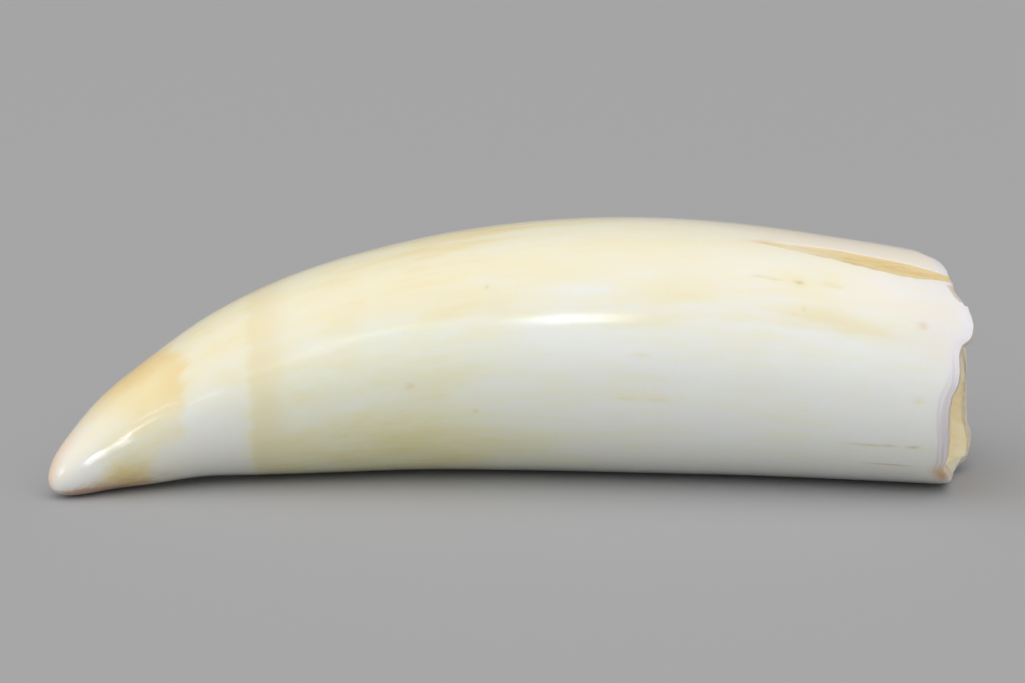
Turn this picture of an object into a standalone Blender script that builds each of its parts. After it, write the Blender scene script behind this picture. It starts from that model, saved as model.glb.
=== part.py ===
"""Polished sperm whale tooth, lying on its side, with its broken root open on the pulp cavity.

The tooth grew as one piece, so it is one closed solid. Its skin runs from the tip along the outside
to the broken rim, over the break, and back inside down to the end of the conical pulp cavity. That
is a sphere drawn out like a sock: each of its rows becomes one row of the tooth.

Distances are measured along the centre line from the tip. Angles go round the section: 0 is the
outside of the bend, 90 the flank that comes to lie uppermost and 180 the inside of the bend.
"""

import math

import bmesh
import bpy
import numpy as np

MM = 0.001
DEGREE = math.radians(1.0)

# The centre line bends in one plane, and its radius of curvature grows evenly from the tip.
TIP_HEADING = 44.2 * DEGREE
TIP_BEND_RADIUS = 44.0 * MM
BEND_RADIUS_GROWTH = 1.69
LINE_STEP = 0.25 * MM
LINE_END = 180.0 * MM

# Half thickness in mm at distances in mm from the tip, and how oval the section is.
THICKNESS = (
    (0, 0.0),
    (1, 2.9),
    (4, 4.7),
    (9, 6.7),
    (16, 9.0),
    (26, 11.8),
    (38, 15.4),
    (52, 18.4),
    (68, 20.3),
    (88, 22.4),
    (112, 23.2),
    (140, 22.1),
    (172, 19.0),
)
OVAL_IN_PLANE = 1.04
OVAL_ACROSS = 0.97

# How far the broken rim reaches from the tip, in mm, at angles in degrees.
RIM_REACH = (
    (0, 163.0),
    (22, 161.4),
    (45, 160.2),
    (56, 162.4),
    (70, 165.6),
    (76, 166.8),
    (89, 168.3),
    (100, 171.0),
    (106, 171.6),
    (111, 171.3),
    (118, 170.1),
    (134, 170.8),
    (145, 170.0),
    (182, 170.8),
    (188, 170.4),
    (196, 171.3),
    (212, 171.9),
    (222, 171.2),
    (246, 171.6),
    (255, 172.1),
    (262, 173.1),
    (275, 172.9),
    (286, 171.6),
    (309, 170.2),
    (327, 169.2),
    (334, 166.8),
    (348, 165.4),
)
RIM_LEVEL = 170.0 * MM
RIM_SHAPES_SKIN_FROM = 120.0 * MM
LIP_WIDTH = 2.2 * MM
LIP_DROP = 0.5 * MM

# The wall at the break is thickest on the side of THICK_WALL_ANGLE.
WALL = 1.8 * MM
WALL_UNEVEN = 0.5 * MM
THICK_WALL_ANGLE = 60.0 * DEGREE

# Scars of the break: angle, half width, and how far the inner edge stands past the outer one.
BREAK_SCARS = (
    (83.0 * DEGREE, 13.0 * DEGREE, 1.0 * MM),
    (20.0 * DEGREE, 22.0 * DEGREE, -1.6 * MM),
    (330.0 * DEGREE, 16.0 * DEGREE, 0.8 * MM),
    (245.0 * DEGREE, 20.0 * DEGREE, -1.8 * MM),
)
BREAK_SLANT = 0.3 * MM

# The pulp cavity narrows as a cone from the break down to its end.
CAVITY_END = 105.0 * MM
CAVITY_TAPER = 0.8

# A natural furrow opens along the upper flank and runs out over the rim. Its slopes are given as
# shares of its half width.
FURROW_START = 133.0 * MM
FURROW_ANGLE = 72.0 * DEGREE
FURROW_WIDTH = 5.0 * MM
FURROW_DEPTH = 1.1 * MM
FURROW_OPENS_OVER = 15.0 * MM
FURROW_UPPER_SLOPE = 0.8
FURROW_LOWER_SLOPE = 0.3
FURROW_RUNS_OUT_OVER = 3.0 * MM
FURROW_DEPTH_AT_RIM = 0.25

# How the tooth rests: rolled on to the inside of its bend, tip down, swung on the table.
LEAN = 33.5 * DEGREE
DIP = -6.6 * DEGREE
SWING = 5.4 * DEGREE

# Rows and sides of the skin. The sides crowd together beside the furrow.
SIDES = 60
SKIN_ROWS = 40
BREAK_ROWS = 3
CAVITY_ROWS = 13
CROWDING = 0.6
CROWDED_OVER = 23.0 * DEGREE

IVORY_COLOUR = (0.83, 0.76, 0.57, 1.0)
IVORY_ROUGHNESS = 0.25
SHARP_ANGLE = 35.0 * DEGREE


def smooth_step(share):
    """0 to 1 as share goes from 0 to 1, level at both ends."""
    share = min(max(share, 0.0), 1.0)
    return share * share * (3.0 - 2.0 * share)


def angle_between(angle, centre):
    """Signed angle from centre to angle, the short way round."""
    return (angle - centre + math.pi) % (2.0 * math.pi) - math.pi


def make_centre_line():
    """Distance, heading, x and y of close points on the centre line, which starts at the tip."""
    distance = np.arange(0.0, LINE_END + LINE_STEP, LINE_STEP)
    turned = np.log1p(BEND_RADIUS_GROWTH * distance / TIP_BEND_RADIUS) / BEND_RADIUS_GROWTH
    heading = TIP_HEADING - turned
    middle = (heading[1:] + heading[:-1]) / 2.0
    x = np.concatenate(([0.0], np.cumsum(np.cos(middle)) * LINE_STEP))
    y = np.concatenate(([0.0], np.cumsum(np.sin(middle)) * LINE_STEP))
    return distance, heading, x, y


CENTRE_LINE = make_centre_line()


def half_thickness(distance):
    """Half thickness of the tooth, smooth through THICKNESS.

    The curve is drawn through the squares of the values, so the tip closes round.
    """
    places, halves = (np.array(column) * MM for column in zip(*THICKNESS))
    squares = halves**2
    gaps = np.diff(places)
    rises = np.diff(squares) / gaps
    slopes = np.empty_like(squares)
    slopes[1:-1] = (gaps[1:] * rises[:-1] + gaps[:-1] * rises[1:]) / (gaps[1:] + gaps[:-1])
    slopes[0] = 2.0 * rises[0] - slopes[1]
    slopes[-1] = 2.0 * rises[-1] - slopes[-2]
    left = int(np.clip(np.searchsorted(places, distance, side="right") - 1, 0, len(gaps) - 1))
    t = (distance - places[left]) / gaps[left]
    square = (
        (2 * t**3 - 3 * t**2 + 1) * squares[left]
        + (t**3 - 2 * t**2 + t) * gaps[left] * slopes[left]
        + (3 * t**2 - 2 * t**3) * squares[left + 1]
        + (t**3 - t**2) * gaps[left] * slopes[left + 1]
    )
    return math.sqrt(max(square, 0.0))


def rim_reach(angle):
    """Distance from the tip at which the outer skin breaks off."""
    degrees, reach = zip(*RIM_REACH)
    return float(np.interp(angle / DEGREE, degrees, reach, period=360.0)) * MM


def furrow_depth(distance, angle):
    """Depth of the furrow: a soft slope on its upper side, and a steep one on the other."""
    along = distance - FURROW_START
    if along <= 0.0:
        return 0.0
    opened = 1.0 - math.exp(-along / FURROW_OPENS_OVER)
    across = angle_between(angle, FURROW_ANGLE) * half_thickness(distance)
    place = across / (0.5 * FURROW_WIDTH * opened)
    upper_slope = smooth_step((1.0 + place) / FURROW_UPPER_SLOPE)
    lower_slope = smooth_step((1.0 - place) / FURROW_LOWER_SLOPE)
    to_rim = (rim_reach(angle) - distance) / FURROW_RUNS_OUT_OVER
    run_out = FURROW_DEPTH_AT_RIM + (1.0 - FURROW_DEPTH_AT_RIM) * smooth_step(to_rim)
    return FURROW_DEPTH * opened * upper_slope * lower_slope * run_out


def outer_row(share, angle):
    """Distance and radius on the outer skin. Rows are close at the tip and at the rim."""
    level = RIM_LEVEL * (1.0 - math.cos(math.pi * share)) / 2.0
    pull = max(level - RIM_SHAPES_SKIN_FROM, 0.0) / (RIM_LEVEL - RIM_SHAPES_SKIN_FROM)
    reach = rim_reach(angle)
    distance = level + (reach - RIM_LEVEL) * pull**2
    from_rim = max(1.0 - (reach - distance) / LIP_WIDTH, 0.0)
    radius = half_thickness(distance) - furrow_depth(distance, angle) - LIP_DROP * from_rim**2
    return distance, radius


def inner_edge(angle):
    """Distance and radius of the edge where the break meets the pulp cavity."""
    distance = rim_reach(angle) - BREAK_SLANT
    for centre, half_width, past in BREAK_SCARS:
        off = abs(angle_between(angle, centre)) / half_width
        distance += past * smooth_step(1.0 - off)
    wall = WALL + WALL_UNEVEN * math.cos(angle - THICK_WALL_ANGLE)
    return distance, half_thickness(distance) - wall


def break_row(share, angle):
    """Distance and radius across the broken edge, from the outer skin to the cavity."""
    outer_distance, outer_radius = outer_row(1.0, angle)
    inner_distance, inner_radius = inner_edge(angle)
    distance = outer_distance + (inner_distance - outer_distance) * share
    radius = outer_radius + (inner_radius - outer_radius) * share
    return distance, radius


def cavity_row(share, angle):
    """Distance and radius on the wall of the pulp cavity, from the break to its end."""
    edge_distance, edge_radius = inner_edge(angle)
    distance = edge_distance + (CAVITY_END - edge_distance) * share
    return distance, edge_radius * (1.0 - share) ** CAVITY_TAPER


def side_angle(turn):
    """Angle round the section for an even turn, drawn in towards the furrow."""
    off = angle_between(turn, FURROW_ANGLE)
    return turn - CROWDING * off * math.exp(-0.5 * (off / CROWDED_OVER) ** 2)


def tooth_point(row, turn):
    """Place of one point of the skin. The rows are counted from the tip to the cavity's end."""
    angle = side_angle(turn)
    if row <= SKIN_ROWS:
        distance, radius = outer_row(row / SKIN_ROWS, angle)
    elif row <= SKIN_ROWS + BREAK_ROWS:
        distance, radius = break_row((row - SKIN_ROWS) / BREAK_ROWS, angle)
    else:
        distance, radius = cavity_row((row - SKIN_ROWS - BREAK_ROWS) / CAVITY_ROWS, angle)
    places, headings, xs, ys = CENTRE_LINE
    heading = np.interp(distance, places, headings)
    in_plane = radius * OVAL_IN_PLANE * math.cos(angle)
    x = np.interp(distance, places, xs) - math.sin(heading) * in_plane
    y = np.interp(distance, places, ys) + math.cos(heading) * in_plane
    z = radius * OVAL_ACROSS * math.sin(angle)
    return x, y, z


def make_tooth_mesh():
    """Draw a sphere out into the tooth, with its first pole at the tip."""
    rows = SKIN_ROWS + BREAK_ROWS + CAVITY_ROWS
    shape = bmesh.new()
    bmesh.ops.create_uvsphere(shape, u_segments=SIDES, v_segments=rows, radius=1.0)
    for vertex in shape.verts:
        x, y, z = vertex.co
        row = round(math.acos(min(max(z, -1.0), 1.0)) / math.pi * rows)
        turn = -math.atan2(y, x) % (2.0 * math.pi)
        vertex.co = tooth_point(row, turn)
    mesh = bpy.data.meshes.new("tooth")
    shape.to_mesh(mesh)
    shape.free()
    mesh.shade_smooth()
    mesh.set_sharp_from_angle(angle=SHARP_ANGLE)
    return mesh


def make_ivory():
    """Polished ivory, cream and glossy."""
    ivory = bpy.data.materials.new("ivory")
    ivory.use_nodes = True
    surface = ivory.node_tree.nodes["Principled BSDF"]
    surface.inputs["Base Color"].default_value = IVORY_COLOUR
    surface.inputs["Roughness"].default_value = IVORY_ROUGHNESS
    surface.inputs["Metallic"].default_value = 0.0
    return ivory


def lay_down(tooth):
    """Turn the tooth to its pose of rest, and set it on the ground over the origin."""
    tooth.rotation_euler = (LEAN, DIP, SWING)
    bpy.context.view_layer.update()
    corners = np.array([tooth.matrix_world @ vertex.co for vertex in tooth.data.vertices])
    lowest, highest = corners.min(axis=0), corners.max(axis=0)
    middle = (lowest + highest) / 2.0
    tooth.location = (-middle[0], -middle[1], -lowest[2])


def main():
    for old in list(bpy.data.objects):
        bpy.data.objects.remove(old, do_unlink=True)
    collection = bpy.data.collections.new("sperm_whale_tooth")
    bpy.context.scene.collection.children.link(collection)
    tooth = bpy.data.objects.new("tooth", make_tooth_mesh())
    tooth.data.materials.append(make_ivory())
    collection.objects.link(tooth)
    lay_down(tooth)


main()
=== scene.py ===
# %% [markdown]
# # A polished sperm whale tooth
# The real thing is one tooth, about 17 cm long, ground smooth and polished. It narrows in a bend from
# the open root to a blunt tip. The root is broken off round a conical pulp cavity. This lesson grows
# the tooth with Geometry Nodes, paints its ivory with shader nodes, and sets it in a pale studio.
#
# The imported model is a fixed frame: it says where the tooth lies and how big it is. Everything made
# below has to fit into it, so the frame is loaded first.

# %% Load the frame
import math

import bpy
from mathutils import Euler, Matrix, Vector


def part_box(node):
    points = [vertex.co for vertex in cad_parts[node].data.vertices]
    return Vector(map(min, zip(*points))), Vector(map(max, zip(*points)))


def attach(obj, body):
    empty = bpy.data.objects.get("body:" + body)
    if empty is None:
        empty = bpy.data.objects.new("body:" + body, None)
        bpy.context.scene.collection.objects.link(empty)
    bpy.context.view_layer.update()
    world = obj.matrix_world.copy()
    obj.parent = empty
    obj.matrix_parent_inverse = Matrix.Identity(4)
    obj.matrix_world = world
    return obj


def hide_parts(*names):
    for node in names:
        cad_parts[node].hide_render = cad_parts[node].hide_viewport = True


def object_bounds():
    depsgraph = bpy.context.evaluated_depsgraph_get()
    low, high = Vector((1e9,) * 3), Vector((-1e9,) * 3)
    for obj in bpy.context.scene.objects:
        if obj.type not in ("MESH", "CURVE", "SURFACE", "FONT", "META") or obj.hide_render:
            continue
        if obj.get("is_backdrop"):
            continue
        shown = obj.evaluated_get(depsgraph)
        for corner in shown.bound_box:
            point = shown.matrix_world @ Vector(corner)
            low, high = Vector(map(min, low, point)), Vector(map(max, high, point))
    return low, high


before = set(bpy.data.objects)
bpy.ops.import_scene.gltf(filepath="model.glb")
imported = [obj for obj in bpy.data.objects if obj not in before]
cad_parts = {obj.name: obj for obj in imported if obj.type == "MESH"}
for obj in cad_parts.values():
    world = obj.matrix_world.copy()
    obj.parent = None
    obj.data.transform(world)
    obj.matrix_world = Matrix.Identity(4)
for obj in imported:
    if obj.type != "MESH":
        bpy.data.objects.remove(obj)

MM = 0.001
DEGREE = math.radians(1.0)

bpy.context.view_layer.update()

# %% [markdown]
# ## The camera
# The photograph was taken from the front, a little above the tooth, with a long lens from about half
# a metre. A long lens keeps the two ends of the tooth in proportion, so distance and focal length
# matter more here than on a wider view.

# %% Camera
CAMERA_PLACE = Vector((-1.6, -449.8, 119.7)) * MM
CAMERA_DIP = 12.0 * DEGREE
CAMERA_LENS = 88.86
SENSOR_WIDTH = 36.0

camera_data = bpy.data.cameras.new("camera")
camera_data.lens = CAMERA_LENS
camera_data.sensor_width = SENSOR_WIDTH
camera = bpy.data.objects.new("camera", camera_data)
camera.location = CAMERA_PLACE
camera.rotation_euler = (math.pi / 2 - CAMERA_DIP, 0.0, 0.0)
bpy.context.scene.collection.objects.link(camera)
bpy.context.scene.camera = camera
print("the camera stands", round(-CAMERA_PLACE.y, 2), "m in front of the tooth")

# %% [markdown]
# ## Writing formulas as nodes
# A tooth follows formulas, and in a node tree a formula is a web of Math nodes. Placing them one by
# one hides the formula. So a small class stands for a value on its way through a tree: adding or
# multiplying two such wires places the Math node and links it. The same helper serves the Geometry
# Nodes tree and the materials, because both know the same Math, Mix, Map Range and noise nodes.


# %% Wires
class Wire:
    """A value on its way through a node tree. Arithmetic on wires places Math nodes."""

    def __init__(self, tree, socket):
        self.tree = tree
        self.socket = socket

    def __add__(self, other):
        return calculate("ADD", self, other)

    def __radd__(self, other):
        return calculate("ADD", other, self)

    def __sub__(self, other):
        return calculate("SUBTRACT", self, other)

    def __rsub__(self, other):
        return calculate("SUBTRACT", other, self)

    def __mul__(self, other):
        return calculate("MULTIPLY", self, other)

    def __rmul__(self, other):
        return calculate("MULTIPLY", other, self)

    def __truediv__(self, other):
        return calculate("DIVIDE", self, other)

    def __pow__(self, other):
        return calculate("POWER", self, other)


def place_node(tree, kind, inputs=None, **settings):
    """A new node with its settings made, and each input linked to a wire or set to a value."""
    node = tree.nodes.new(kind)
    for name, value in settings.items():
        setattr(node, name, value)
    for key, value in (inputs or {}).items():
        if isinstance(value, Wire):
            tree.links.new(value.socket, node.inputs[key])
        else:
            node.inputs[key].default_value = value
    return node


def calculate(operation, *values):
    """One Math node on these wires and numbers."""
    tree = next(value.tree for value in values if isinstance(value, Wire))
    node = place_node(tree, "ShaderNodeMath", dict(enumerate(values)), operation=operation)
    return Wire(tree, node.outputs[0])


def between(value, lowest, highest):
    """The value, held between two limits."""
    return calculate("MINIMUM", calculate("MAXIMUM", value, lowest), highest)


def ease(value, start, end):
    """0 to 1 as the value goes from start to end, level at both ends."""
    settings = {"Value": value, "From Min": start, "From Max": end}
    node = place_node(value.tree, "ShaderNodeMapRange", settings, interpolation_type="SMOOTHSTEP")
    return Wire(value.tree, node.outputs["Result"])


def blend(first, second, share):
    """From first to second as share goes from 0 to 1."""
    tree = next(value.tree for value in (first, second, share) if isinstance(value, Wire))
    node = place_node(tree, "ShaderNodeMix", {0: share, 2: first, 3: second}, data_type="FLOAT")
    return Wire(tree, node.outputs[0])


def hump(value, centre, half_width):
    """A smooth hump: 1 at the centre, almost 0 at twice the half width."""
    off = (value - centre) / half_width
    return calculate("EXPONENT", off * off * -1.0)


def short_way(angle):
    """The same angle between -180 and 180 degrees, so it tells how far off 0 it is."""
    return calculate("WRAP", angle, 180.0, -180.0)


def full_turn(angle):
    """The same angle between 0 and 360 degrees."""
    return calculate("WRAP", angle, 360.0, 0.0)


def split(vector):
    """The three numbers of a vector."""
    node = place_node(vector.tree, "ShaderNodeSeparateXYZ", {0: vector})
    return [Wire(vector.tree, output) for output in node.outputs]


def join(x, y, z):
    """A vector of three numbers."""
    tree = next(value.tree for value in (x, y, z) if isinstance(value, Wire))
    return Wire(tree, place_node(tree, "ShaderNodeCombineXYZ", {0: x, 1: y, 2: z}).outputs[0])


def noise(place, detail=2.0, roughness=0.5):
    """Smooth noise between about 0.2 and 0.8, with one hill for each unit of the place."""
    inputs = {"Vector": place, "Scale": 1.0, "Detail": detail, "Roughness": roughness}
    node = place_node(place.tree, "ShaderNodeTexNoise", inputs, noise_dimensions="3D")
    return Wire(place.tree, node.outputs[0])


def draw_curve(value, points):
    """Look the value up on a smooth curve drawn through (value, result) points."""
    places, results = zip(*points)
    lowest, span = min(results), max(results) - min(results)
    length = places[-1] - places[0]
    node = place_node(value.tree, "ShaderNodeFloatCurve", {"Value": (value - places[0]) / length})
    curve = node.mapping.curves[0]
    while len(curve.points) < len(points):
        curve.points.new(0.5, 0.5)
    for point, place, result in zip(curve.points, places, results):
        point.location = ((place - places[0]) / length, (result - lowest) / span)
        point.handle_type = "AUTO_CLAMPED"
    node.mapping.update()
    return Wire(value.tree, node.outputs[0]) * span + lowest


def draw_held_curve(value, points):
    """The same for a value that runs past the curve's ends, where the result stays level."""
    return draw_curve(between(value, float(points[0][0]), float(points[-1][0])), points)


# %% [markdown]
# ## The spine of the tooth
# A tooth is laid down layer by layer, and each layer is a little larger than the last. That growth
# bends the tooth into a spiral whose radius of curvature rises evenly from the tip: a logarithmic
# spiral, as in a horn or a shell. It could be a hand-drawn Bezier curve, but the formula gives the
# same bend with three numbers. The curve's radius holds the half thickness, so one curve carries both
# the path and the taper.
#
# From here to the end of the tree every length is in millimetres, because that keeps the numbers easy
# to read. The last step turns them into metres.

# %% Spine
TIP_HEADING = 44.2 * DEGREE
TIP_BEND_RADIUS = 44.0
BEND_RADIUS_GROWTH = 1.69
SPINE_END = 180.0
SPINE_POINTS = 600
# Distance from the tip, and half the thickness there.
THICKNESS = (
    (0, 0.0), (1, 2.1), (4, 4.2), (9, 6.3), (16, 9.0), (26, 11.8), (38, 15.4),
    (52, 18.35), (68, 20.5), (88, 22.4), (112, 23.2), (140, 22.1), (172, 19.0),
)


def spine_point(distance):
    """Place on the spiral at this distance from the tip, which lies at the origin."""
    grown = 1.0 + BEND_RADIUS_GROWTH * distance / TIP_BEND_RADIUS
    start = TIP_HEADING + math.atan(1.0 / BEND_RADIUS_GROWTH)
    turned = start - math.log(grown) / BEND_RADIUS_GROWTH
    reach = TIP_BEND_RADIUS / math.hypot(BEND_RADIUS_GROWTH, 1.0)
    x = reach * (grown * math.cos(turned) - math.cos(start))
    y = reach * (grown * math.sin(turned) - math.sin(start))
    return x, y


def square_slopes(places, squares):
    """Slope of a smooth curve at each of its points."""
    rises = [
        (after - before) / (places[i + 1] - places[i])
        for i, (before, after) in enumerate(zip(squares, squares[1:]))
    ]
    gaps = [after - before for before, after in zip(places, places[1:])]
    inner = [
        (gaps[i + 1] * rises[i] + gaps[i] * rises[i + 1]) / (gaps[i + 1] + gaps[i])
        for i in range(len(rises) - 1)
    ]
    return [2.0 * rises[0] - inner[0], *inner, 2.0 * rises[-1] - inner[-1]]


def half_thickness(distance):
    """Half thickness of the tooth. It is drawn through the squares, so the tip closes round."""
    places = [place for place, _ in THICKNESS]
    squares = [half * half for _, half in THICKNESS]
    slopes = square_slopes(places, squares)
    left = max(i for i in range(len(places) - 1) if i == 0 or places[i] <= distance)
    gap = places[left + 1] - places[left]
    t = (distance - places[left]) / gap
    square = (2 * t**3 - 3 * t**2 + 1) * squares[left] + (3 * t**2 - 2 * t**3) * squares[left + 1]
    square += (t**3 - 2 * t**2 + t) * gap * slopes[left] + (t**3 - t**2) * gap * slopes[left + 1]
    return math.sqrt(max(square, 0.0))


spine_data = bpy.data.curves.new("spine", "CURVE")
spine_data.dimensions = "3D"
spline = spine_data.splines.new("POLY")
spline.points.add(SPINE_POINTS - 1)
for i, point in enumerate(spline.points):
    distance = SPINE_END * i / (SPINE_POINTS - 1)
    point.co = (*spine_point(distance), 0.0, 1.0)
    point.radius = half_thickness(distance)
spine = bpy.data.objects.new("spine", spine_data)
bpy.context.scene.collection.objects.link(spine)
print("the spine is", round(spline.calc_length(), 1), "mm long")

# %% [markdown]
# ## A tree that grows the tooth
# A tooth with an open root has one unbroken surface. Its skin runs from the tip to the broken rim,
# goes over the break, and comes back inside down to the end of the cavity. That is a sphere drawn out
# like a sock, so the tree starts with a UV Sphere, whose rows and sides already close at both poles.
# Lofting rings by hand would need the same rows, and two extra caps.
#
# Every size is a named input of the tree. new_size makes the input, remembers its value for the
# modifier, and hands back the wire to calculate with.

# %% Tree and its inputs
grow = bpy.data.node_groups.new("grow tooth", "GeometryNodeTree")
grow.is_modifier = True
grow.interface.new_socket("Spine", in_out="INPUT", socket_type="NodeSocketGeometry")
grow.interface.new_socket("Tooth", in_out="OUTPUT", socket_type="NodeSocketGeometry")
grow_inputs = grow.nodes.new("NodeGroupInput")
grow_output = grow.nodes.new("NodeGroupOutput")
sizes = {}


def new_size(name, value):
    """A named input of the tree, and its wire."""
    kind = "NodeSocketInt" if isinstance(value, int) else "NodeSocketFloat"
    socket = grow.interface.new_socket(name, in_out="INPUT", socket_type=kind)
    sizes[socket.identifier] = value
    return Wire(grow, grow_inputs.outputs[name])


SIDES = 300
skin_rows = new_size("Skin Rows", 240)
break_rows = new_size("Break Rows", 12)
cavity_rows = new_size("Cavity Rows", 60)
all_rows = skin_rows + break_rows + cavity_rows
sphere_inputs = {"Segments": new_size("Sides", SIDES), "Rings": all_rows, "Radius": 1.0}
sphere = place_node(grow, "GeometryNodeMeshUVSphere", sphere_inputs)
print("the tree has", len(sizes), "named inputs so far")

# %% [markdown]
# ## Row and angle of each point
# A point of the sphere knows only its place, but its height gives its row and its bearing gives the
# side it is on. A field is worked out afresh wherever it is used, and later the points will have moved.
# So row and bearing are stored on the sphere first, and everything after reads them back.
#
# Angle 0 is the outside of the bend, 90 the flank that lies uppermost and 180 the inside of the bend.
# The sides crowd together beside the furrow, where the surface changes fastest.


# %% Row and angle
def change_mesh(kind, inputs, **settings):
    """The mesh as one more geometry node leaves it."""
    return Wire(grow, place_node(grow, kind, inputs, **settings).outputs["Geometry"])


def store(geometry, name, value, data_type="FLOAT"):
    """Keep a value on every point of the mesh under this name."""
    inputs = {"Geometry": geometry, "Name": name, "Value": value}
    settings = {"data_type": data_type, "domain": "POINT"}
    return change_mesh("GeometryNodeStoreNamedAttribute", inputs, **settings)


def read_back(name):
    """A stored number."""
    node = place_node(grow, "GeometryNodeInputNamedAttribute", {"Name": name}, data_type="FLOAT")
    return Wire(grow, node.outputs["Attribute"])


sphere_place = Wire(grow, place_node(grow, "GeometryNodeInputPosition").outputs[0])
sphere_x, sphere_y, sphere_z = split(sphere_place)
row = calculate("ARCCOSINE", between(sphere_z, -1.0, 1.0)) / math.pi * all_rows
turn = calculate("ARCTAN2", sphere_y * -1.0, sphere_x) / DEGREE
mesh_wire = store(Wire(grow, sphere.outputs["Mesh"]), "row", calculate("ROUND", row))
mesh_wire = store(mesh_wire, "turn", turn)
row, turn = read_back("row"), read_back("turn")

furrow_angle = new_size("Furrow Angle", 75.0)
crowding = new_size("Crowding", 0.55)
crowded_over = new_size("Crowded Over", 24.0)
off_furrow = short_way(turn - furrow_angle)
crowd = hump(off_furrow, 0.0, crowded_over * math.sqrt(2.0))
angle = full_turn(turn - crowding * off_furrow * crowd)
along_bend = calculate("COSINE", angle * DEGREE)
across_bend = calculate("SINE", angle * DEGREE)

# %% [markdown]
# ## The broken rim
# The root didn't break off square. The rim is a ragged line that reaches further from the tip on some
# sides than on others, with small bites between. A Float Curve holds that line, read off the real
# tooth at some thirty angles, and a little noise along it stands for the bites too small to draw. A
# Boolean cut would also leave a ragged end, but no even rows of faces for the lip to roll over.

# %% Rim
# Angle round the tooth, and the distance from the tip at which the skin ends there.
RIM_REACH = (
    (0, 163.0), (22, 161.4), (45, 160.2), (56, 162.9), (66, 164.8), (72, 165.5), (79, 167.0),
    (84, 168.3), (90, 169.6), (95, 170.4), (100, 171.2), (106, 171.6), (111, 171.3), (118, 170.1),
    (134, 170.8), (145, 170.0), (182, 170.8), (190, 170.4), (197, 171.1), (205, 171.6),
    (212, 171.9), (222, 171.2), (246, 171.6), (255, 172.1), (262, 173.1), (275, 172.9),
    (286, 171.6), (309, 170.2), (327, 169.2), (334, 166.8), (348, 165.4), (360, 163.0),
)
seed = new_size("Seed", 4)
rim_bites = new_size("Rim Bites", 0.5)
bites_round = new_size("Bites Round", 7.0)

bite_place = join(along_bend * bites_round, across_bend * bites_round, seed)
bites = (noise(bite_place, detail=4.0, roughness=0.6) - 0.5) * rim_bites
rim_reach = draw_curve(angle, RIM_REACH) + bites

# %% [markdown]
# ## Rows on the skin
# Near the tip the rows lie close, because the tooth rounds off there, and near the rim they lie close
# again for the lip and the furrow. Where the rim reaches further, the rows near it are drawn along.

# %% Distance of each row
rim_level = new_size("Rim Level", 170.0)
drawn_from = new_size("Rim Draws Rows From", 120.0)
rows_at_rim = new_size("Row Gap At Rim", 0.3)

skin_share = between(row / skin_rows, 0.0, 1.0)
# A cubic from 0 to 1: level at the tip, and with the slope rows_at_rim at the rim.
level = rim_level * skin_share * skin_share * (3.0 - rows_at_rim - (2.0 - rows_at_rim) * skin_share)
drawn = calculate("MAXIMUM", level - drawn_from, 0.0) / (rim_level - drawn_from)
skin_distance = level + (rim_reach - rim_level) * drawn * drawn

# %% [markdown]
# ## Reading the spine
# Sample Curve gives the place, the direction and the radius of the spine at any distance. The radius
# is sampled as its square, which runs almost straight near the tip, and the root is taken afterwards.


# %% Sample the spine
def sample_spine(distance):
    """Place, direction and half thickness of the spine at this distance from the tip."""
    radius = Wire(grow, place_node(grow, "GeometryNodeInputRadius").outputs[0])
    inputs = {
        "Curves": Wire(grow, grow_inputs.outputs["Spine"]),
        "Value": radius * radius,
        "Length": distance,
    }
    node = place_node(grow, "GeometryNodeSampleCurve", inputs, mode="LENGTH", data_type="FLOAT")
    square = Wire(grow, node.outputs["Value"])
    place, direction = Wire(grow, node.outputs["Position"]), Wire(grow, node.outputs["Tangent"])
    return place, direction, calculate("SQRT", square)


skin_half = sample_spine(skin_distance)[2]

# %% [markdown]
# ## The furrow
# Along the upper flank a natural furrow opens towards the rim. Its upper side slopes in softly and its
# lower side is a crisp step. It runs out over the rim, so it gets shallower again just before it. The
# ridge above it swells on its way to the rim. Each is a product of masks, one along the tooth and one
# across, and changes only the radius. Sculpting them would be quick too, but not so easy to adjust.

# %% Furrow
# Distance from the tip, and the angle of the furrow's middle there.
FURROW_PATH = (
    (130, 72.8), (138, 73.6), (145, 74.4), (151, 75.6), (158, 76.0), (163, 75.2), (168, 74.0),
)
FURROW_START = 131.0
FURROW_NARROWS_FROM = 157.0
FURROW_NARROWS_TO = 166.0
NARROWS_BY = 0.5
WAVER_LENGTH = 3.0
WAVER_ANGLE = 1.6
LEAST_HALF_WIDTH = 0.05
RUN_OUT_LENGTH = 3.0
DEPTH_LEFT_AT_RIM = 0.25
RIDGE_HALF_ANGLE = 20.0
RIDGE_SWELLS_FROM = 142.0
RIDGE_SWELLS_TO = 163.0
furrow_depth = new_size("Furrow Depth", 0.5)
furrow_half = new_size("Furrow Half Width", 7.0)
furrow_opens = new_size("Furrow Opens Over", 14.0)
upper_slope = new_size("Furrow Upper Slope", 0.6)
lower_slope = new_size("Furrow Lower Slope", 0.2)

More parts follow.
